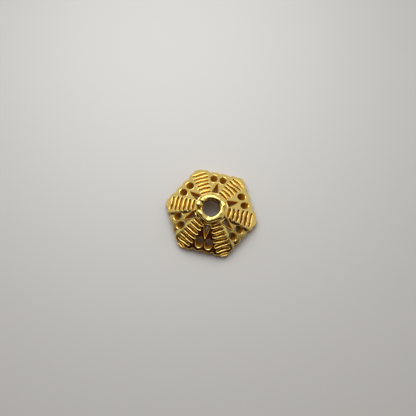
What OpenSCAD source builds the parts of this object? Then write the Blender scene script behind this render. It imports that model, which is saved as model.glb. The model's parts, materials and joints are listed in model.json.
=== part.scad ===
// Hexagon spacer bead: a cast bead cap with six reeded petals round a raised collar.
// It stands on its rim at z = 0 with the thread hole along Z and one petal pointing along +X.

/* [Overall] */
// Width from one petal tip to the opposite one
tip_span = 10; // [9.8:0.1:10.6]
// Height from the rim to the crest of the collar
crest_h = 3; // [2.9:0.05:3.3]

/* [Dome] */
// Height of the surface at the petal tips
tip_h = 0.5; // [0.4:0.05:0.6]
// Height of the surface where it meets the collar
crown_h = 2.58; // [2.5:0.02:2.7]
// How far the dome stands above a straight cone halfway down
bulge = 0.12; // [0.05:0.01:0.2]
// Drop from the petals to the pierced panels between them
panel_drop = 0.2; // [0.12:0.02:0.26]

/* [Hollow underside] */
// Radius of the round bead that the hollow sits on
seat_r = 5; // [4.9:0.1:5.5]
// Radius of the hollow's mouth at the rim
mouth_r = 3.9; // [3.7:0.05:4]

/* [Collar and thread hole] */
// Diameter of the thread hole
bore_d = 1.9; // [1.7:0.02:2]
// Radius of the collar's crest
crest_r = 1.24; // [1.22:0.01:1.3]
// Radius of the collar's rounded section
collar_round = 0.36; // [0.32:0.01:0.38]
// Width across the collar's six flats
collar_flats = 2.9; // [2.8:0.02:3]

/* [Petals] */
// Half width of a petal at its inner end
root_half = 0.5; // [0.45:0.01:0.55]
// Half width of a petal beside the round holes
waist_half = 0.84; // [0.8:0.01:0.88]
// Half width of a petal at its shoulders
shoulder_half = 1.18; // [1.12:0.01:1.22]
// Radius of the small lobe at the tip
lobe_r = 0.54; // [0.48:0.01:0.58]
// Radius of the two rounded shoulders
shoulder_r = 0.46; // [0.42:0.01:0.5]

/* [Slots across the petals] */
// Number of slots across each petal
slot_count = 7; // [5:1:7]
// Distance from the axis to the middle of the first slot
first_slot = 1.9; // [1.88:0.01:1.95]
// Spacing of the slots
slot_pitch = 0.47; // [0.44:0.01:0.48]
// Width of a slot
slot_w = 0.24; // [0.18:0.01:0.26]
// Depth of a slot
slot_depth = 0.22; // [0.15:0.01:0.26]

/* [Pierced panels] */
// Diameter of the paired round holes
eye_d = 0.8; // [0.7:0.02:0.84]
// Distance from the axis to the round holes
eye_ring = 3.5; // [3.46:0.01:3.54]
// Angle between the two round holes of a pair
eye_angle = 15.8; // [15.4:0.1:16.4]
// Lean of the round holes away from the thread hole
eye_lean = 24; // [10:1:34]
// Radius of the scallop round each hole
scallop_r = 0.96; // [0.92:0.01:1]
// Distance from the axis to the base of the pointed opening
arch_base = 1.82; // [1.8:0.01:1.9]
// Distance from the axis to its point
arch_tip = 3.1; // [3.0:0.01:3.14]
// Width of its base
arch_w = 0.62; // [0.56:0.01:0.7]

/* [Hidden] */
$fn = 64;
SIDES = 6;
STEP = 360 / SIDES;
DOME_BANDS = 4;
CLEAR = 1;                       // how far a cutter runs past the metal
tip_r = tip_span / 2;
crown_r = crest_r + collar_round / 2;
waist_r = 3.2;                   // where a petal is level with the round holes
shoulder_out = tip_r - 0.8;
skirt_r = tip_r + CLEAR;

// Height of the petals' surface at radius r, a cone with a slight bulge, and its slope in degrees
function dome_t(r) = (tip_r - r) / (tip_r - crown_r);
function dome_z(r) = tip_h + (crown_h - tip_h) * dome_t(r) + 4 * bulge * dome_t(r) * (1 - dome_t(r));
function dome_slope(r) =
    atan((crown_h - tip_h + 4 * bulge * (1 - 2 * dome_t(r))) / (tip_r - crown_r));

// Radii of the conical bands that make up the dome
band_r = [for (i = [0:DOME_BANDS]) crown_r + i * (tip_r - crown_r) / DOME_BANDS];

// Half lengths of the slots from the collar outwards, shortest on the lobe at the tip
SLOT_HALF = [0.5, 0.62, 0.65, 0.65, 0.65, 0.6, 0.36];

module each_petal() {
    for (i = [0:SIDES - 1]) rotate(i * STEP) children();
}

module each_panel() {
    for (i = [0:SIDES - 1]) rotate((i + 0.5) * STEP) children();
}

// Puts a child on the surface at radius r, drop below petal level, with its Z square to the slope
module on_dome(r, drop = 0) {
    translate([r, 0, dome_z(r) - drop]) rotate([0, dome_slope(r), 0]) children();
}

// Solid dome from the table up to its surface
module dome() {
    rotate_extrude() polygon(concat(
        [[0, 0], [0, dome_z(crown_r)]],
        [for (r = band_r) [r, dome_z(r)]],
        [[skirt_r, dome_z(tip_r)], [skirt_r, 0]]
    ));
}

// All that lies above panel level
module above_panels() {
    rotate_extrude() polygon(concat(
        [[0, crest_h + CLEAR], [0, dome_z(crown_r) - panel_drop]],
        [for (r = band_r) [r, dome_z(r) - panel_drop]],
        [[skirt_r, dome_z(tip_r) - panel_drop], [skirt_r, crest_h + CLEAR]]
    ));
}

module petal_field(reach) {
    polygon([
        [0, root_half], [crown_r, root_half], [waist_r, waist_half], [shoulder_out, shoulder_half],
        [reach, shoulder_half], [reach, -shoulder_half],
        [shoulder_out, -shoulder_half], [waist_r, -waist_half], [crown_r, -root_half], [0, -root_half]
    ]);
}

// Outline of the bead seen from above: lobed petal tips with two scallops between them
module outline() {
    circle(r = eye_ring);
    each_petal() {
        petal_field(shoulder_out);
        translate([tip_r - lobe_r, 0]) circle(r = lobe_r);
        for (side = [-1, 1])
            translate([shoulder_out, side * (shoulder_half - shoulder_r)]) circle(r = shoulder_r);
    }
    each_panel() for (side = [-1, 1])
        rotate(side * eye_angle / 2) translate([eye_ring, 0]) circle(r = scallop_r);
}

module body() {
    difference() {
        intersection() {
            dome();
            linear_extrude(crest_h) outline();
        }
        difference() {
            above_panels();
            linear_extrude(crest_h + 2 * CLEAR) each_petal() petal_field(skirt_r + CLEAR);
        }
    }
}

// Rounded ring trimmed to a hexagon whose corners point at the panels
module collar() {
    foot = dome_z(crown_r) - 0.5;
    intersection() {
        rotate_extrude() {
            translate([crest_r, crest_h - collar_round]) circle(r = collar_round);
            translate([crest_r - collar_round, foot])
                square([2 * collar_round, crest_h - collar_round - foot]);
        }
        linear_extrude(crest_h + CLEAR) rotate(STEP / 2)
            circle(r = collar_flats / 2 / cos(STEP / 2), $fn = SIDES);
    }
}

// Spherical hollow that sits on the round bead
module hollow() {
    translate([0, 0, -sqrt(seat_r * seat_r - mouth_r * mouth_r)]) sphere(r = seat_r);
}

module bore() {
    translate([0, 0, -CLEAR]) cylinder(d = bore_d, h = crest_h + 2 * CLEAR);
}

// Round-ended slot across a petal
module slot(i) {
    straight = SLOT_HALF[i] - slot_w / 2;
    on_dome(first_slot + i * slot_pitch) translate([0, 0, -slot_depth]) linear_extrude(slot_depth + CLEAR) {
        square([slot_w, 2 * straight], center = true);
        for (side = [-1, 1]) translate([0, side * straight]) circle(d = slot_w);
    }
}

// Pointed opening between the collar and the round holes
module arch() {
    mid = (arch_base + arch_tip) / 2;
    reach = (arch_tip - arch_base) / cos(dome_slope(mid));
    off = (reach * reach - arch_w * arch_w / 4) / arch_w;
    on_dome(mid, panel_drop) translate([-reach / 2, 0, -2 * CLEAR]) linear_extrude(3 * CLEAR)
        intersection() {
            translate([0, off]) circle(r = off + arch_w / 2);
            translate([0, -off]) circle(r = off + arch_w / 2);
            translate([0, -arch_w]) square([2 * reach, 2 * arch_w]);
        }
}

module eyes() {
    for (side = [-1, 1]) rotate(side * eye_angle / 2)
        translate([eye_ring, 0, dome_z(eye_ring) - panel_drop]) rotate([0, eye_lean, 0])
            translate([0, 0, -2 * CLEAR]) cylinder(d = eye_d, h = 3 * CLEAR);
}

module spacer_bead() {
    color("goldenrod") difference() {
        union() {
            body();
            collar();
        }
        hollow();
        bore();
        each_petal() for (i = [0:slot_count - 1]) slot(i);
        each_panel() {
            arch();
            eyes();
        }
    }
}

spacer_bead();
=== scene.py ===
"""Dresses the hexagon spacer bead: one gilt casting lying dome up on a pale floor."""
import json
import math
from types import SimpleNamespace

import bpy
from bpy.props import FloatProperty, FloatVectorProperty, IntProperty, PointerProperty
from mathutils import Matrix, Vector


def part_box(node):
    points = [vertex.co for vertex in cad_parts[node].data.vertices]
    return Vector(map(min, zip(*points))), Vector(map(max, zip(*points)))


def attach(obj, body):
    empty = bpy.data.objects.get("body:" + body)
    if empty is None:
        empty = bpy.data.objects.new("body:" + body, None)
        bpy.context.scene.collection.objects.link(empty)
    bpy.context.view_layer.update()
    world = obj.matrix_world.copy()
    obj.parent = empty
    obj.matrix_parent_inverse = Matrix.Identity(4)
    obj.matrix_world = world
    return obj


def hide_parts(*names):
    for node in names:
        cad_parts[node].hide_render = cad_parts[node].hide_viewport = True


bl_info = {
    "name": "Hexagon spacer bead",
    "version": (1, 0, 0),
    "blender": (4, 5, 0),
    "location": "View3D > Sidebar > Spacer bead",
    "description": "Casts the bead as one gilt piece and sets it on a lit floor",
    "category": "Object",
}

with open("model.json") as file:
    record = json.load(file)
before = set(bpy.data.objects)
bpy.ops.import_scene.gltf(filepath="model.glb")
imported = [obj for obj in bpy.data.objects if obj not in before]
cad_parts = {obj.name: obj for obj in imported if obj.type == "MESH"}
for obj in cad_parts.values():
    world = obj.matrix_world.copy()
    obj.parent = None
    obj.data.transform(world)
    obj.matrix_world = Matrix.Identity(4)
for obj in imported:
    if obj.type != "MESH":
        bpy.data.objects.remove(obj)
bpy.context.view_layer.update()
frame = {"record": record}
NODE = "spacer_bead"
BODY = "root"
METAL_SLOT = "gilt_metal"
MM = 0.001
LOW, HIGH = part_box(NODE)
THREAD_HOLE = next(m for m in frame["record"]["mounts"] if m["name"] == "thread_hole")

# Sizes that the frame fixes. Lengths are in millimetres from here to the finish
TIP_R = HIGH.x / MM
CREST_H = HIGH.z / MM
BORE_R = THREAD_HOLE["dims"]["r_mm"]

# Dome and hollow, as the solid has them, and the cosine of the dome's mean slope
SIDES = 6
HALF_STEP = math.pi / SIDES
CROWN_R, CROWN_H = 1.42, 2.58
TIP_H = 0.5
BULGE = 0.12
SLOPE_COS = 0.86
SEAT_R, MOUTH_R = 5.0, 3.9
SEAT_DROP = math.sqrt(SEAT_R ** 2 - MOUTH_R ** 2)

# Petals, along (u) and across (v) each one: half widths, round shoulders and the lobe at the tip
ROOT_HALF, WAIST_HALF, SHOULDER_HALF = 0.6, 0.9, 1.18
WAIST_R = 3.2
SHOULDER_BACK, SHOULDER_R = 0.82, 0.46
SHOULDER_U, SHOULDER_V = TIP_R - SHOULDER_BACK, SHOULDER_HALF - SHOULDER_R
LOBE_BACK, LOBE_R = 0.02, 0.72
LOBE_U = TIP_R - LOBE_BACK - LOBE_R

# Spans inside a petal's side edge over which it rises from the panels, and then swells a little
RISE_SPAN = -0.2, 0.2
SWELL_SPAN, SWELL = (0.0, 0.7), 0.03

# Slots across a petal, numbered outwards from 0: places, half lengths and waviness.
# They reach their full length at the slot FULL_SLOT, and the last ones are shorter again
FIRST_SLOT, SLOT_PITCH, LAST_SLOT = 1.94, 0.472, 6.0
SLOT_HALF, INNER_SHORTER, LAST_SHORTER = 0.8, 0.24, 0.36
FULL_SLOT, LAST_SPREAD = 4.0, 1.4
SLOT_WAVE = 0.4

# Half width of a slot as a share of its given width: at its ends, and how much more in its middle
END_SHARE, MIDDLE_MORE = 0.34, 0.22
WIDEN_SPAN, END_SPAN = (0.06, -0.4), (0.08, -0.12)

# Where the steep inner wall and the slanting outer wall end, in half widths of the slot
STEEP_END, SLANT_END = -0.4, -0.1

# Wear of the last slots, least on the near side of the bead: span in y, least wear and the rest
WEAR_SPAN, LEAST_WEAR, MORE_WEAR = (-2.5, 1.5), 0.35, 0.6

# Round holes, along (u) and across (v) a panel. They lean outwards and narrow inwards, and the
# squeeze makes up for the lean, so that they stay nearly round on the slope
EYE_RING, EYE_TURN = 3.56, math.radians(8.0)
EYE_U, EYE_V = EYE_RING * math.cos(EYE_TURN), EYE_RING * math.sin(EYE_TURN)
EYE_Z, EYE_LEAN, EYE_SQUEEZE = 1.27, 0.75, 0.6
EYE_TAPER, EYE_TAPER_DEPTH = 0.14, 0.8

# The holes on the near side lie further out and are larger: span in y, way out, and growth as a
# share of it
EYE_STRAY_SPAN, EYE_STRAY, EYE_GROWTH = (-2.5, -3.2), 0.08, 0.4

# Scallops of the outline round those holes
SCALLOP_RING, SCALLOP_R = 3.5, 0.95
SCALLOP_U, SCALLOP_V = SCALLOP_RING * math.cos(EYE_TURN), SCALLOP_RING * math.sin(EYE_TURN)

# Pointed openings, with slightly bowed sides. They shorten and narrow as they sink
ARCH_BASE, ARCH_TIP, ARCH_HALF = 1.8, 3.1, 0.34
ARCH_BOW = 0.5
ARCH_SHORTER, ARCH_NARROWER, ARCH_TAPER_DEPTH = 1.1, 0.36, 0.6

# Lips round the openings: middle and half width, measured from the edge, and height
EYE_LIP = 0.06, 0.09, 0.02
ARCH_LIP = 0.05, 0.08, 0.03

# Collar: half width across its flats, how hexagonal it is, how far it laps into the thread hole,
# the two radii of its rounded section, and what its crest lost in casting, in waves and evenly
COLLAR_FLAT, COLLAR_HEX, COLLAR_LAP = 1.48, 0.8, 0.04
COLLAR_ROUND, COLLAR_ROLL = 0.34, 0.24
COLLAR_WAVE, COLLAR_LOST = 0.3, 0.04

# Dents in the collar: direction in degrees, ring, radius and depth
DENTS = ((182.0, 1.2, 0.6, 0.5), (150.0, 1.65, 0.3, 0.3), (8.0, 1.55, 0.45, 0.3))

# Casting pits beside the collar: direction in degrees, ring and height, then their radius and
# a distance at which none of them matters
PITS = ((196.0, 1.38, 2.74), (222.0, 1.54, 2.44), (255.0, 1.62, 2.42))
PIT_R = 0.23
FAR = 1.0

# Flattened drop of metal on the collar in its deepest dent, its direction in degrees
DROP_TURN, DROP_RING, DROP_Z, DROP_R = 174.0, 1.38, 2.77, 0.36
DROP_FLAT = 1.75

# Rough patches of the cast skin: x, y and radius, then the share of that radius which is
# roughest, and how much rougher it is
FLAWS = ((3.2, -0.1, 1.4), (2.2, 3.8, 0.9), (-2.3, -3.8, 0.9), (-3.3, -1.6, 1.2))
FLAW_CORE, FLAW_MORE = 0.3, 4.0

# Unevenness of the casting: spots to the millimetre and detail, and a seed apart for the waves
STRAY_NOISE = 0.9, 1.0
WAVE_NOISE, WAVE_SEED = (1.3, 0.0), 2.0
SKIN_NOISE = 3.0, 2.0

# Fillets where forms join
TIP_FILLET, SCALLOP_FILLET, FIELD_FILLET = 0.34, 0.14, 0.1
COLLAR_FILLET, DROP_FILLET = 0.08, 0.03

# Rounding of the edges where forms are cut
RIM_ROUND, FIELD_ROUND, HOLLOW_ROUND, FOOT_ROUND = 0.16, 0.1, 0.12, 0.05
BORE_ROUND, EYE_ROUND, ARCH_ROUND, ARCH_CORNER, PIT_ROUND = 0.05, 0.12, 0.08, 0.06, 0.06

# Marks that the casting keeps for its finish: where shade is painted dark, partly patina in the slots,
# and where a wall is dull and painted darker as shade
MARKS = ("Recess", "Pierced")

# Spans over which the marks rise: beside a wall, below the surface, below the crest, in the slots,
# at the foot and the rim, and round the pits, the drop of metal and the foot of the collar. They give
# the painted shade, partly patina in the slots, and the dull walls of the openings
WALL_SPAN, PIERCED_SPAN, THROAT_SPAN = (0.1, 0.0), (0.02, 0.14), (0.15, 0.45)
SLOT_SPAN, FOOT_SPAN, RIM_SPAN = (0.2, 0.65), (0.5, 0.15), (-0.1, 0.0)
PIT_SPAN, DROP_SPAN, DROP_EDGE = (0.08, 0.0), (0.14, 0.08), (0.0, 0.05)
CREVICE_SPAN, CREVICE_Z_SPAN = (0.06, 0.0), (2.78, 2.66)
# How dark the painted shade is at the foot and in the throat of the thread hole
FOOT_DARK, THROAT_DARK = 0.8, 0.8

# Sampling of the form: room round the bead, density on the surface and its fall over one grain,
# and how readily even parts of the surface are merged into larger faces, from 0 to 1
MARGIN = 0.15
SURFACE, FALL = 0.5, 0.25
MERGE = 0.05

# Drawing the mesh onto the surface: rounds, step for the slope, least square of the slope and
# furthest move, then the step for the slope that the shading follows
PULLS, PULL_STEP, LEAST_STEEPNESS, FURTHEST_PULL = 2, 0.01, 0.2, 0.03
NORMAL_STEP = 0.03

# Names of the sizes that the node group of the form takes
FORM_INPUTS = ("Tip radius", "Crest height", "Bore radius", "Petal rise", "Slot depth",
               "Slot width", "Eye radius", "Wobble", "Skin", "Seed")

# Finish of the plating: spots to the millimetre and detail of its clouds and its fine unevenness
CLOUD_NOISE, FINE_NOISE = (1.5, 3.0), (9.0, 2.0)
FINE_STRENGTH, FINE_HEIGHT = 0.15, 0.01 * MM
# How far the clouds sway the painted shade and patina, and the span of its mark over which it comes in
CLOUD_SWAY, SHADE_AND_PATINA_SPAN = 0.3, (0.4, 1.0)

# Roughness of the polish, and what clouds, the painted shade and patina, and dull walls add. Dull
# walls are less metallic
POLISH_ROUGH, CLOUD_ROUGH, SHADE_AND_PATINA_ROUGH, DULL_ROUGH = 0.12, 0.1, 0.25, 0.25
DULL_BARE = 0.6

# Stage, with lengths in metres: floor, soft lamp, and the span from the dark side of the room to
# the bright one
FLOOR_HALF, FLOOR_ROUGH = 0.6, 0.6
LAMP_AHEAD, LAMP_LEFT, LAMP_DISTANCE, LAMP_SIZE = 0.58, 0.15, 0.044, 0.039
DUSK_SPAN = -0.58, 0.15


class BeadSizes(bpy.types.PropertyGroup):
    """Sizes and colours of the casting"""

    petal_rise: FloatProperty(
        name="Petal rise", description="Height of the petals above the pierced panels",
        default=0.1 * MM, min=0.0, max=0.4 * MM, unit="LENGTH", precision=6)
    slot_depth: FloatProperty(
        name="Slot depth", description="Depth of the slots across the petals",
        default=0.22 * MM, min=0.0, max=0.4 * MM, unit="LENGTH", precision=6)
    slot_width: FloatProperty(
        name="Slot width", description="Width of a slot between its rounded edges",
        default=0.33 * MM, min=0.1 * MM, max=0.4 * MM, unit="LENGTH", precision=6)
    eye_radius: FloatProperty(
        name="Eye radius", description="Radius of the paired round holes",
        default=0.375 * MM, min=0.3 * MM, max=0.45 * MM, unit="LENGTH", precision=6)
    wobble: FloatProperty(
        name="Wobble", description="How far the hand-cut pattern strays from a perfect one",
        default=0.05 * MM, min=0.0, max=0.15 * MM, unit="LENGTH", precision=6)
    skin: FloatProperty(
        name="Cast skin", description="Height of the small unevenness of the cast surface",
        default=0.008 * MM, min=0.0, max=0.1 * MM, unit="LENGTH", precision=6)
    grain: FloatProperty(
        name="Grain", description="Spacing of the points that the casting is measured at",
        default=0.036 * MM, min=0.03 * MM, max=0.2 * MM, unit="LENGTH", precision=6)
    seed: IntProperty(name="Seed", description="Seed of the wobble and the skin", default=7, min=0)
    gold: FloatVectorProperty(
        name="Gold", description="Colour of the polished plating", subtype="COLOR",
        size=3, default=(0.92, 0.685, 0.205), min=0.0, max=1.0)
    # Painted shade, partly patina: this colour darkens the slots, thread hole, pits, crevices and foot
    shade_patina_colour: FloatVectorProperty(
        name="Shade and patina", description="Colour of the plating in the recesses", subtype="COLOR",
        size=3, default=(0.42, 0.185, 0.005), min=0.0, max=1.0)
    # The bronze is darker than the gold as painted shade inside the openings
    bronze: FloatVectorProperty(
        name="Bronze", description="Colour of the unpolished walls of the openings", subtype="COLOR",
        size=3, default=(0.52, 0.22, 0.015), min=0.0, max=1.0)


class StageLook(bpy.types.PropertyGroup):
    """Floor, light and camera"""

    floor_colour: FloatVectorProperty(
        name="Floor", description="Colour of the floor", subtype="COLOR",
        size=3, default=(0.75, 0.75, 0.73), min=0.0, max=1.0)
    azimuth: FloatProperty(
        name="Azimuth", description="Direction of the camera round the bead",
        default=math.radians(12.8), subtype="ANGLE")
    elevation: FloatProperty(
        name="Elevation", description="Height of the camera above the horizon",
        default=math.radians(77), subtype="ANGLE")
    distance: FloatProperty(
        name="Distance", description="Distance from the camera to the bead",
        default=0.09, min=0.05, unit="LENGTH")
    room: FloatVectorProperty(
        name="Room", description="Light of the pale room beyond the bead", subtype="COLOR",
        size=3, default=(0.62, 0.605, 0.58), min=0.0, max=2.0)
    shade: FloatVectorProperty(
        name="Shade", description="Light of the dark side, where the viewer stands", subtype="COLOR",
        size=3, default=(0.026, 0.0075, 0.009), min=0.0, max=2.0)
    room_turn: FloatProperty(
        name="Room turn", description="How far the bright side lies to the right of straight ahead",
        default=math.radians(10), subtype="ANGLE")
    lamp_power: FloatProperty(
        name="Lamp", description="Power of the soft lamp", default=0.0105, min=0.0, unit="POWER")


class Term:
    """A socket of a node tree that is added, multiplied and compared as a plain number is"""

    def __init__(self, tree, socket):
        self.tree = tree
        self.socket = socket

    def math(self, operation, *others):
        node = self.tree.nodes.new("ShaderNodeMath")
        node.operation = operation
        for slot, value in zip(node.inputs, (self, *others)):
            plug(self.tree, value, slot)
        return Term(self.tree, node.outputs[0])

    def __add__(self, other):
        return self.math("ADD", other)

    def __sub__(self, other):
        return self.math("SUBTRACT", other)

    def __mul__(self, other):
        return self.math("MULTIPLY", other)

    def __truediv__(self, other):
        return self.math("DIVIDE", other)

    def __neg__(self):
        return self * -1.0

    def __abs__(self):
        return self.math("ABSOLUTE")

    def __rsub__(self, other):
        return -self + other

    def __rtruediv__(self, other):
        return self.math("POWER", -1.0) * other

    def at_least(self, low):
        return self.math("MAXIMUM", low)

    def clamp(self, low, high):
        return self.at_least(low).math("MINIMUM", high)


def plug(tree, value, slot):
    """Links a term to a socket, or sets the socket to a plain value"""
    if isinstance(value, Term):
        tree.links.new(value.socket, slot)
    else:
        slot.default_value = value


def reach(a, b):
    """Length of the right-angled pair (a, b)"""
    return (a * a + b * b).math("SQRT")


def join(a, b, blend):
    """Union of two distances with a fillet"""
    return a.math("SMOOTH_MIN", b, blend)


def keep(a, b, blend):
    """Intersection of two distances with a rounded edge"""
    return a.math("SMOOTH_MAX", b, blend)


def ramp(value, start, end, smooth=True):
    """0 before start, 1 past end, and between them a smooth or straight rise"""
    node = value.tree.nodes.new("ShaderNodeMapRange")
    node.interpolation_type = "SMOOTHSTEP" if smooth else "LINEAR"
    plug(value.tree, value, node.inputs["Value"])
    plug(value.tree, start, node.inputs["From Min"])
    plug(value.tree, end, node.inputs["From Max"])
    return Term(value.tree, node.outputs["Result"])


def swing(value):
    """A noise value from 0 to 1 as one from -1 to 1"""
    return (value - 0.5) * 2.0


def split(tree, socket):
    """The three parts of a vector or colour socket as terms"""
    node = tree.nodes.new("ShaderNodeSeparateXYZ")
    tree.links.new(socket, node.inputs[0])
    return [Term(tree, out) for out in node.outputs]


def vector_of(tree, parts):
    """Vector socket made of three terms"""
    node = tree.nodes.new("ShaderNodeCombineXYZ")
    for part, slot in zip(parts, node.inputs):
        plug(tree, part, slot)
    return node.outputs[0]


def noise(tree, position, spots, detail, seed):
    """Noise texture sampled at a position given in millimetres"""
    node = tree.nodes.new("ShaderNodeTexNoise")
    node.noise_dimensions = "4D"
    tree.links.new(position, node.inputs["Vector"])
    plug(tree, seed, node.inputs["W"])
    node.inputs["Scale"].default_value = spots
    node.inputs["Detail"].default_value = detail
    return node


def paint_over(tree, under, share, colour):
    """A colour laid by a share over another one, which is a term or a plain value"""
    mix = tree.nodes.new("ShaderNodeMix")
    mix.data_type = "RGBA"
    plug(tree, share, mix.inputs["Factor"])
    plug(tree, under, mix.inputs["A"])
    mix.inputs["B"].default_value = (*colour, 1.0)
    return Term(tree, mix.outputs["Result"])


def place_of(tree, position, size):
    """A point's height, and its place from the axis, along its petal and along its panel"""
    true_x, true_y, z = split(tree, position)
    stray = noise(tree, position, *STRAY_NOISE, size["Seed"])
    stray_x, stray_y, _ = split(tree, stray.outputs["Color"])
    x = true_x + swing(stray_x) * size["Wobble"]
    y = true_y + swing(stray_y) * size["Wobble"]
    wave = noise(tree, position, *WAVE_NOISE, size["Seed"] + WAVE_SEED)
    r = reach(x, y)
    turn = y.math("ARCTAN2", x)
    off_petal = turn.math("WRAP", HALF_STEP, -HALF_STEP)
    off_panel = (turn - HALF_STEP).math("WRAP", HALF_STEP, -HALF_STEP)
    return SimpleNamespace(
        x=x, y=y, z=z, r=r, true_r=reach(true_x, true_y), wave=Term(tree, wave.outputs["Fac"]) - 0.5,
        petal_u=r * off_petal.math("COSINE"), petal_v=abs(r * off_petal.math("SINE")),
        panel_u=r * off_panel.math("COSINE"), panel_v=abs(r * off_panel.math("SINE")))


def aside_of(at, degrees, ring):
    """How far a point lies, seen from above, from the place on a ring in a given direction"""
    turn = math.radians(degrees)
    return reach(at.x - ring * math.cos(turn), at.y - ring * math.sin(turn))


def dome_height(r, tip_radius):
    """Height of the petals' surface: a cone with a slight bulge"""
    up = (tip_radius - r) / (tip_radius - CROWN_R)
    return up * (CROWN_H - TIP_H) + TIP_H + up * (1.0 - up) * (4.0 * BULGE)


def inside_petal(at):
    """How far a point lies inside the petal's side edge"""
    to_waist = ramp(at.petal_u, CROWN_R, WAIST_R, smooth=False)
    to_shoulder = ramp(at.petal_u, WAIST_R, SHOULDER_U, smooth=False)
    half = (to_waist * (WAIST_HALF - ROOT_HALF) + ROOT_HALF
            + to_shoulder * (SHOULDER_HALF - WAIST_HALF))
    return half - at.petal_v


def slots(at, size):
    """Slots across a petal, steep on the inner side: 0 off them, 1 along their deepest line"""
    along = (at.petal_u - FIRST_SLOT) / SLOT_PITCH + at.wave * SLOT_WAVE
    number = along.math("ROUND").clamp(0.0, LAST_SLOT)
    across = (along - number) * SLOT_PITCH
    inner = ramp(number, FULL_SLOT, 0.0, smooth=False)
    last = ramp(number, LAST_SLOT - LAST_SPREAD, LAST_SLOT)
    past_end = at.petal_v - SLOT_HALF + inner * INNER_SHORTER + last * LAST_SHORTER
    half = size["Slot width"] * (ramp(past_end, *WIDEN_SPAN) * MIDDLE_MORE + END_SHARE)
    worn = last * (ramp(at.y, *WEAR_SPAN) * MORE_WEAR + LEAST_WEAR)
    steep = ramp(across, -half, half * STEEP_END)
    slanting = ramp(across, half, half * SLANT_END, smooth=False)
    return steep * slanting * slanting * ramp(past_end, *END_SPAN) * (1.0 - worn)


def eye(at, size, sunk):
    """Distance outside the nearest round hole, which leans away from the axis and narrows inwards"""
    stray = ramp(at.y, *EYE_STRAY_SPAN) * EYE_STRAY
    along = (at.panel_u - EYE_U - stray - (at.z - EYE_Z) * EYE_LEAN) * EYE_SQUEEZE
    narrower = sunk.clamp(0.0, EYE_TAPER_DEPTH) * EYE_TAPER
    radius = size["Eye radius"] + stray * EYE_GROWTH - narrower
    return reach(along, at.panel_v - EYE_V) - radius


def arch(at, sunk):
    """Distance outside the pointed opening, which narrows as it sinks through the wall"""
    sunk = sunk.clamp(0.0, ARCH_TAPER_DEPTH)
    taper = (at.panel_u - ARCH_BASE) / (ARCH_TIP - ARCH_BASE - sunk * ARCH_SHORTER)
    wide = 1.0 - taper * (abs(taper) * ARCH_BOW + (1.0 - ARCH_BOW))
    side = at.panel_v - wide * (ARCH_HALF - sunk * ARCH_NARROWER)
    return keep(side, ARCH_BASE - at.panel_u, ARCH_CORNER)


def lip(gap, middle, half, height):
    """Thin raised ring round an opening, from the distance outside it"""
    return ramp(abs(gap - middle), half, 0.0) * height


def outline(at):
    """Distance outside the bead's outline: lobed tips with two scallops between them"""
    lobe = reach(at.petal_u - LOBE_U, at.petal_v) - LOBE_R
    shoulder = reach(at.petal_u - SHOULDER_U, at.petal_v - SHOULDER_V) - SHOULDER_R
    scallop = reach(at.panel_u - SCALLOP_U, at.panel_v - SCALLOP_V) - SCALLOP_R
    field = keep(-inside_petal(at), at.petal_u - SHOULDER_U, FIELD_ROUND)
    tip = join(lobe, shoulder, TIP_FILLET)
    middle = join(field, at.r - EYE_RING, FIELD_FILLET)
    return join(join(tip, scallop, SCALLOP_FILLET), middle, FIELD_FILLET)


def collar(at, size):
    """Distance outside the collar, round within and hexagonal without"""
    inner = size["Bore radius"] - COLLAR_LAP
    outer = at.r / (at.petal_u * COLLAR_HEX + at.r * (1.0 - COLLAR_HEX)) * COLLAR_FLAT
    half = (outer - inner) * 0.5
    across = (at.r - inner - half) / half * COLLAR_ROUND
    lost = (at.wave * COLLAR_WAVE + COLLAR_LOST).at_least(0.0)
    for degrees, ring, radius, deep in DENTS:
        lost = ramp(aside_of(at, degrees, ring), radius, 0.0) * deep + lost
    above = (at.z - size["Crest height"] + COLLAR_ROLL + lost).at_least(0.0)
    return reach(across, above * (COLLAR_ROUND / COLLAR_ROLL)) - COLLAR_ROUND


def pit(at):
    """Distance outside the nearest of the casting pits beside the collar"""
    gap = FAR
    for degrees, ring, height in PITS:
        gap = reach(aside_of(at, degrees, ring), at.z - height).math("MINIMUM", gap)
    return gap - PIT_R


def drop(at):
    """Distance outside the drop of metal on the collar"""
    aside = aside_of(at, DROP_TURN, DROP_RING)
    return reach(aside, (at.z - DROP_Z) * DROP_FLAT) - DROP_R


def cast_skin(tree, position, at, size):
    """Height of the small unevenness of the surface, greater in the rough patches"""
    rough = 1.0
    for x, y, radius in FLAWS:
        rough = ramp(reach(at.x - x, at.y - y), radius, radius * FLAW_CORE) * FLAW_MORE + rough
    spots = noise(tree, position, *SKIN_NOISE, size["Seed"])
    return swing(Term(tree, spots.outputs["Fac"])) * rough * size["Skin"]


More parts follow.
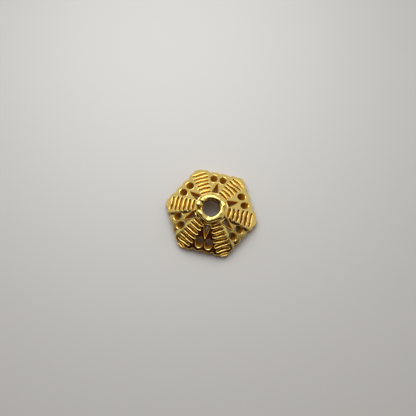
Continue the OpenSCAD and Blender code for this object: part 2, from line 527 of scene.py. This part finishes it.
def bead_form(tree, position, at, size):
    """Distance outside the metal, less than 0 within it, and outside each of its parts"""
    depth = (dome_height(at.r, size["Tip radius"]) - at.z) * SLOPE_COS
    sunk = depth - size["Petal rise"]
    inside = inside_petal(at)
    petal = ramp(inside, *RISE_SPAN) * size["Petal rise"] + ramp(inside, *SWELL_SPAN) * SWELL
    form = SimpleNamespace(
        slot=slots(at, size), eye=eye(at, size, sunk), arch=arch(at, sunk), rim=outline(at),
        collar=collar(at, size), bore=at.true_r - size["Bore radius"], pit=pit(at), drop=drop(at))
    lips = lip(form.eye, *EYE_LIP) + lip(form.arch, *ARCH_LIP)
    skin = cast_skin(tree, position, at, size)
    form.top = form.slot * size["Slot depth"] + skin - sunk - petal - lips

    metal = keep(form.top, form.rim, RIM_ROUND)
    metal = join(metal, form.collar, COLLAR_FILLET)
    metal = keep(metal, SEAT_R - reach(at.r, at.z + SEAT_DROP), HOLLOW_ROUND)
    metal = keep(metal, -form.bore, BORE_ROUND)
    metal = keep(metal, -form.eye, EYE_ROUND)
    metal = keep(metal, -form.arch, ARCH_ROUND)
    metal = keep(metal, -form.pit, PIT_ROUND)
    metal = join(metal, form.drop, DROP_FILLET)
    form.metal = keep(metal, -at.z, FOOT_ROUND)
    return form


def shade_and_dull_marks(at, size, form):
    """The marks, each from 0 to 1: painted shade, partly patina, in recesses and at the foot, and dull
    walls of openings, painted darker as shade
    """
    # Dull walls of the openings, which the material also paints darker as shade
    wall = ramp(form.arch, *WALL_SPAN).at_least(ramp(form.eye, *WALL_SPAN))
    pierced = wall * ramp(-form.top, *PIERCED_SPAN)
    # Painted shade on the wall of the thread hole below the crest
    throat = ramp(form.bore, *WALL_SPAN) * ramp(size["Crest height"] - at.z, *THROAT_SPAN)
    # Painted shade at the foot of the collar
    crevice = ramp(form.collar, *CREVICE_SPAN) * ramp(at.z, *CREVICE_Z_SPAN)
    # Painted shade in the casting pits and in a ring round the drop of metal, but not on the drop
    # itself
    pitted = ramp(form.pit, *PIT_SPAN).at_least(ramp(form.drop, *DROP_SPAN)).at_least(crevice)
    pitted = pitted * ramp(form.drop, *DROP_EDGE)
    # Painted shade at the foot and on the rim's edge, where the floor beside it lies in shadow
    foot = ramp(at.z, *FOOT_SPAN).at_least(ramp(form.rim, *RIM_SPAN)) * FOOT_DARK
    # Painted shade, partly patina, in the deepest part of the slots and in the thread hole
    recess = ramp(form.slot, *SLOT_SPAN).at_least(throat * THROAT_DARK)
    return recess.at_least(pitted).at_least(foot), pierced


def form_group():
    """Node group that gives the distance outside the metal and the marks, at a place in millimetres"""
    tree = bpy.data.node_groups.new("Bead form", "GeometryNodeTree")
    sockets = tree.interface
    sockets.new_socket("Position", in_out="INPUT", socket_type="NodeSocketVector")
    for name in FORM_INPUTS:
        sockets.new_socket(name, in_out="INPUT", socket_type="NodeSocketFloat")
    for name in ("Distance", *MARKS):
        sockets.new_socket(name, in_out="OUTPUT", socket_type="NodeSocketFloat")
    given = tree.nodes.new("NodeGroupInput")
    size = {name: Term(tree, given.outputs[name]) for name in FORM_INPUTS}
    position = given.outputs["Position"]
    at = place_of(tree, position, size)
    form = bead_form(tree, position, at, size)
    result = tree.nodes.new("NodeGroupOutput")
    plug(tree, form.metal, result.inputs["Distance"])
    for name, mark in zip(MARKS, shade_and_dull_marks(at, size, form)):
        plug(tree, mark, result.inputs[name])
    return tree


def here(tree):
    """Socket with the position of each point"""
    return tree.nodes.new("GeometryNodeInputPosition").outputs[0]


def measure(tree, form, sizes, position):
    """A use of the form group at a position"""
    node = tree.nodes.new("GeometryNodeGroup")
    node.node_tree = form
    tree.links.new(position, node.inputs["Position"])
    for name in FORM_INPUTS:
        tree.links.new(sizes.outputs[name], node.inputs[name])
    return node


def slope_of(tree, form, sizes, step):
    """Distance at each point of a mesh, and the three parts of its slope over a short step"""
    position = here(tree)
    samples = []
    for offset in ((0, 0, 0), (step, 0, 0), (0, step, 0), (0, 0, step)):
        near = tree.nodes.new("ShaderNodeVectorMath")
        tree.links.new(position, near.inputs[0])
        near.inputs[1].default_value = offset
        samples.append(Term(tree, measure(tree, form, sizes, near.outputs[0]).outputs["Distance"]))
    return samples[0], [(sample - samples[0]) / step for sample in samples[1:]]


def skinned_block(tree, form, sizes):
    """Mesh of the surface of the form, which is sampled on a grid of points round the bead"""
    grain = Term(tree, sizes.outputs["Grain"])
    distance = Term(tree, measure(tree, form, sizes, here(tree)).outputs["Distance"])
    low = [corner / MM - MARGIN for corner in LOW]
    high = [corner / MM + MARGIN for corner in HIGH]
    block = tree.nodes.new("GeometryNodeVolumeCube")
    block.inputs["Min"].default_value = low
    block.inputs["Max"].default_value = high
    for axis, near, far in zip("XYZ", low, high):
        plug(tree, (far - near) / grain, block.inputs[f"Resolution {axis}"])
    plug(tree, distance / grain * -FALL + SURFACE, block.inputs["Density"])
    skin = tree.nodes.new("GeometryNodeVolumeToMesh")
    tree.links.new(block.outputs[0], skin.inputs["Volume"])
    skin.inputs["Threshold"].default_value = SURFACE
    skin.inputs["Adaptivity"].default_value = MERGE
    return skin.outputs[0]


def pull_to_surface(tree, form, sizes, geometry):
    """Moves each point of a mesh along the slope of the distance onto the surface itself"""
    distance, slope = slope_of(tree, form, sizes, PULL_STEP)
    squared = slope[0] * slope[0] + slope[1] * slope[1] + slope[2] * slope[2]
    travel = (-distance / squared.at_least(LEAST_STEEPNESS)).clamp(-FURTHEST_PULL, FURTHEST_PULL)
    moved = tree.nodes.new("GeometryNodeSetPosition")
    tree.links.new(geometry, moved.inputs["Geometry"])
    tree.links.new(vector_of(tree, [part * travel for part in slope]), moved.inputs["Offset"])
    return moved.outputs[0]


def face_along_slope(tree, form, sizes, geometry):
    """Gives each point of a mesh a normal along the slope of the distance"""
    _, slope = slope_of(tree, form, sizes, NORMAL_STEP)
    facing = tree.nodes.new("GeometryNodeSetMeshNormal")
    facing.mode = "FREE"
    tree.links.new(geometry, facing.inputs["Mesh"])
    tree.links.new(vector_of(tree, slope), facing.inputs["Custom Normal"])
    return facing.outputs[0]


def store_marks(tree, form, sizes, geometry):
    """Stores the marks on the points of a mesh"""
    measured = measure(tree, form, sizes, here(tree))
    for name in MARKS:
        mark = tree.nodes.new("GeometryNodeStoreNamedAttribute")
        mark.data_type = "FLOAT"
        mark.domain = "POINT"
        mark.inputs["Name"].default_value = name.lower()
        tree.links.new(geometry, mark.inputs["Geometry"])
        tree.links.new(measured.outputs[name], mark.inputs["Value"])
        geometry = mark.outputs[0]
    return geometry


def finish_mesh(tree, geometry, material):
    """Brings a mesh from millimetres to metres and gives it smooth shading and its metal"""
    scaled = tree.nodes.new("GeometryNodeTransform")
    scaled.inputs["Scale"].default_value = (MM, MM, MM)
    smooth = tree.nodes.new("GeometryNodeSetShadeSmooth")
    real = tree.nodes.new("GeometryNodeRealizeInstances")
    plated = tree.nodes.new("GeometryNodeSetMaterial")
    plated.inputs["Material"].default_value = material
    for node in (scaled, smooth, real, plated):
        tree.links.new(geometry, node.inputs["Geometry"])
        geometry = node.outputs[0]
    return geometry


def casting_tree(material):
    """Geometry Nodes that sample the bead's form, skin it and draw the mesh onto its surface"""
    form = form_group()
    tree = bpy.data.node_groups.new("Bead casting", "GeometryNodeTree")
    for name in (*FORM_INPUTS, "Grain"):
        tree.interface.new_socket(name, in_out="INPUT", socket_type="NodeSocketFloat")
    tree.interface.new_socket("Geometry", in_out="OUTPUT", socket_type="NodeSocketGeometry")
    sizes = tree.nodes.new("NodeGroupInput")
    geometry = skinned_block(tree, form, sizes)
    for _ in range(PULLS):
        geometry = pull_to_surface(tree, form, sizes, geometry)
    geometry = face_along_slope(tree, form, sizes, geometry)
    geometry = store_marks(tree, form, sizes, geometry)
    result = tree.nodes.new("NodeGroupOutput")
    tree.links.new(finish_mesh(tree, geometry, material), result.inputs["Geometry"])
    return tree


def stored_mark(tree, name):
    """A mark that the casting stored on its points, as a term"""
    node = tree.nodes.new("ShaderNodeAttribute")
    node.attribute_name = name.lower()
    return Term(tree, node.outputs["Fac"])


def plating_noise(tree, spots, detail):
    """Noise texture of the plating, with a number of spots to the millimetre"""
    node = tree.nodes.new("ShaderNodeTexNoise")
    node.inputs["Scale"].default_value = spots / MM
    node.inputs["Detail"].default_value = detail
    place = tree.nodes.new("ShaderNodeTexCoord").outputs["Object"]
    tree.links.new(place, node.inputs["Vector"])
    return node.outputs["Fac"]


def gilt_material(sizes):
    """Polished gold plate, with painted shade, partly patina, in the recesses and a dull bronze,
    painted darker as shade, in the openings
    """
    material = bpy.data.materials.new(METAL_SLOT)
    material.use_nodes = True
    tree = material.node_tree
    shader = tree.nodes["Principled BSDF"]
    recess, dull = (stored_mark(tree, name) for name in MARKS)
    cloudy = Term(tree, plating_noise(tree, *CLOUD_NOISE))
    # Painted shade, partly patina, swayed a little by the clouds of the plating
    shade_and_patina = ramp(recess + (cloudy - 0.5) * CLOUD_SWAY, *SHADE_AND_PATINA_SPAN)

    colour = paint_over(tree, (*sizes.gold, 1.0), shade_and_patina, sizes.shade_patina_colour)
    # Dull bronze on the walls of the openings, painted darker as shade
    colour = paint_over(tree, colour, dull, sizes.bronze)
    rough = shade_and_patina * SHADE_AND_PATINA_ROUGH + dull * DULL_ROUGH + cloudy * CLOUD_ROUGH + POLISH_ROUGH
    plug(tree, colour, shader.inputs["Base Color"])
    plug(tree, 1.0 - dull * DULL_BARE, shader.inputs["Metallic"])
    plug(tree, rough, shader.inputs["Roughness"])

    bump = tree.nodes.new("ShaderNodeBump")
    bump.inputs["Strength"].default_value = FINE_STRENGTH
    bump.inputs["Distance"].default_value = FINE_HEIGHT
    tree.links.new(plating_noise(tree, *FINE_NOISE), bump.inputs["Height"])
    tree.links.new(bump.outputs["Normal"], shader.inputs["Normal"])
    return material


class BEAD_OT_cast_bead(bpy.types.Operator):
    """Cast the bead as one closed gilt piece in place of the plain solid"""

    bl_idname = "bead.cast_bead"
    bl_label = "Cast the bead"

    def execute(self, context):
        look = context.scene.bead_sizes
        tree = casting_tree(gilt_material(look))
        values = {
            "Tip radius": TIP_R, "Crest height": CREST_H, "Bore radius": BORE_R,
            "Petal rise": look.petal_rise / MM, "Slot depth": look.slot_depth / MM,
            "Slot width": look.slot_width / MM, "Eye radius": look.eye_radius / MM,
            "Wobble": look.wobble / MM, "Skin": look.skin / MM, "Seed": float(look.seed),
            "Grain": look.grain / MM,
        }
        carrier = bpy.data.objects.new("carrier", bpy.data.meshes.new("carrier"))
        context.scene.collection.objects.link(carrier)
        casting = carrier.modifiers.new("Casting", "NODES")
        casting.node_group = tree
        for socket in tree.interface.items_tree:
            if socket.name in values:
                casting[socket.identifier] = values[socket.name]
        evaluated = carrier.evaluated_get(context.evaluated_depsgraph_get())
        mesh = bpy.data.meshes.new_from_object(evaluated)
        bpy.data.objects.remove(carrier)
        if not mesh.polygons:
            raise RuntimeError("the casting came out empty")
        mesh.name = "cast_bead"
        bead = bpy.data.objects.new("cast_bead", mesh)
        context.scene.collection.objects.link(bead)
        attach(bead, BODY)
        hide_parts(NODE)
        return {"FINISHED"}


def floor_plane(look):
    """Plain pale floor at the height the bead stands on"""
    half = FLOOR_HALF
    mesh = bpy.data.meshes.new("floor")
    corners = [(-half, -half, 0), (half, -half, 0), (half, half, 0), (-half, half, 0)]
    mesh.from_pydata(corners, [], [(0, 1, 2, 3)])
    floor = bpy.data.objects.new("floor", mesh)
    material = bpy.data.materials.new("pale_floor")
    material.use_nodes = True
    shader = material.node_tree.nodes["Principled BSDF"]
    shader.inputs["Base Color"].default_value = (*look.floor_colour, 1.0)
    shader.inputs["Roughness"].default_value = FLOOR_ROUGH
    mesh.materials.append(material)
    bpy.context.scene.collection.objects.link(floor)


def photo_axes(look):
    """Unit vectors to the right of the photo, up it, and from the bead to the camera"""
    a, e = look.azimuth, look.elevation
    back = Vector((math.sin(a) * math.cos(e), -math.cos(a) * math.cos(e), math.sin(e)))
    right = Vector((math.cos(a), math.sin(a), 0.0))
    return right, back.cross(right), back


def room_light(look):
    """Soft room: bright beyond the bead and overhead, dark where the viewer stands"""
    world = bpy.data.worlds.new("room")
    world.use_nodes = True
    tree = world.node_tree
    facing = look.azimuth - look.room_turn
    x, y, _ = split(tree, tree.nodes.new("ShaderNodeTexCoord").outputs["Generated"])
    beyond = y * math.cos(facing) - x * math.sin(facing)
    sight = Term(tree, tree.nodes.new("ShaderNodeLightPath").outputs["Is Camera Ray"])
    lit = ramp(beyond, *DUSK_SPAN).at_least(sight)
    colour = paint_over(tree, (*look.shade, 1.0), lit, look.room)
    plug(tree, colour, tree.nodes["Background"].inputs["Color"])
    bpy.context.scene.world = world


def soft_lamp(look):
    """Square area lamp overhead, a little beyond the bead and to its left, aimed at the bead"""
    right, up, back = photo_axes(look)
    ahead = up - back * up.z / back.z
    aim = (Vector((0.0, 0.0, 1.0)) + ahead * LAMP_AHEAD - right * LAMP_LEFT).normalized()
    lamp = bpy.data.lights.new("softbox", "AREA")
    lamp.size = LAMP_SIZE
    lamp.energy = look.lamp_power
    holder = bpy.data.objects.new("softbox", lamp)
    holder.location = aim * LAMP_DISTANCE
    holder.rotation_euler = aim.to_track_quat("Z", "Y").to_euler()
    bpy.context.scene.collection.objects.link(holder)


def photo_camera(look):
    """Camera at the photo's angle; the bead sits a little right of and below the middle"""
    image_px, px_per_mm = 416, 9.3
    right_px, below_px = 3.2, 5.1
    clip_near, clip_far = 0.005, 5.0
    rim_mid = Vector((0.0, 0.0, TIP_H / 2 * MM))
    right, up, back = photo_axes(look)
    camera = bpy.data.cameras.new("camera")
    camera.lens = camera.sensor_width * look.distance / (image_px / px_per_mm * MM)
    camera.clip_start = clip_near
    camera.clip_end = clip_far
    holder = bpy.data.objects.new("camera", camera)
    target = rim_mid - right * (right_px / px_per_mm * MM) + up * (below_px / px_per_mm * MM)
    holder.location = target + back * look.distance
    holder.rotation_euler = back.to_track_quat("Z", "Y").to_euler()
    bpy.context.scene.collection.objects.link(holder)
    bpy.context.scene.camera = holder


class BEAD_OT_set_stage(bpy.types.Operator):
    """Lay the floor, light the room, hang the lamp and place the camera at the photo's angle"""

    bl_idname = "bead.set_stage"
    bl_label = "Set the stage"

    def execute(self, context):
        look = context.scene.bead_stage
        floor_plane(look)
        room_light(look)
        soft_lamp(look)
        photo_camera(look)
        context.scene.view_settings.view_transform = "Standard"
        return {"FINISHED"}


class VIEW3D_PT_spacer_bead(bpy.types.Panel):
    """Sidebar panel with the bead's sizes and its stage"""

    bl_label = "Spacer bead"
    bl_category = "Spacer bead"
    bl_space_type = "VIEW_3D"
    bl_region_type = "UI"

    def draw(self, context):
        for owner, operator in (("bead_sizes", "bead.cast_bead"), ("bead_stage", "bead.set_stage")):
            box = self.layout.box()
            group = getattr(context.scene, owner)
            for name in group.bl_rna.properties.keys():
                if name not in ("rna_type", "name"):
                    box.prop(group, name)
            box.operator(operator)


CLASSES = (BeadSizes, StageLook, BEAD_OT_cast_bead, BEAD_OT_set_stage, VIEW3D_PT_spacer_bead)


def register():
    for cls in CLASSES:
        bpy.utils.register_class(cls)
    bpy.types.Scene.bead_sizes = PointerProperty(type=BeadSizes)
    bpy.types.Scene.bead_stage = PointerProperty(type=StageLook)


def unregister():
    del bpy.types.Scene.bead_stage
    del bpy.types.Scene.bead_sizes
    for cls in reversed(CLASSES):
        bpy.utils.unregister_class(cls)


def main():
    register()
    bpy.ops.bead.set_stage()
    bpy.ops.bead.cast_bead()


if __name__ == "__main__":
    main()
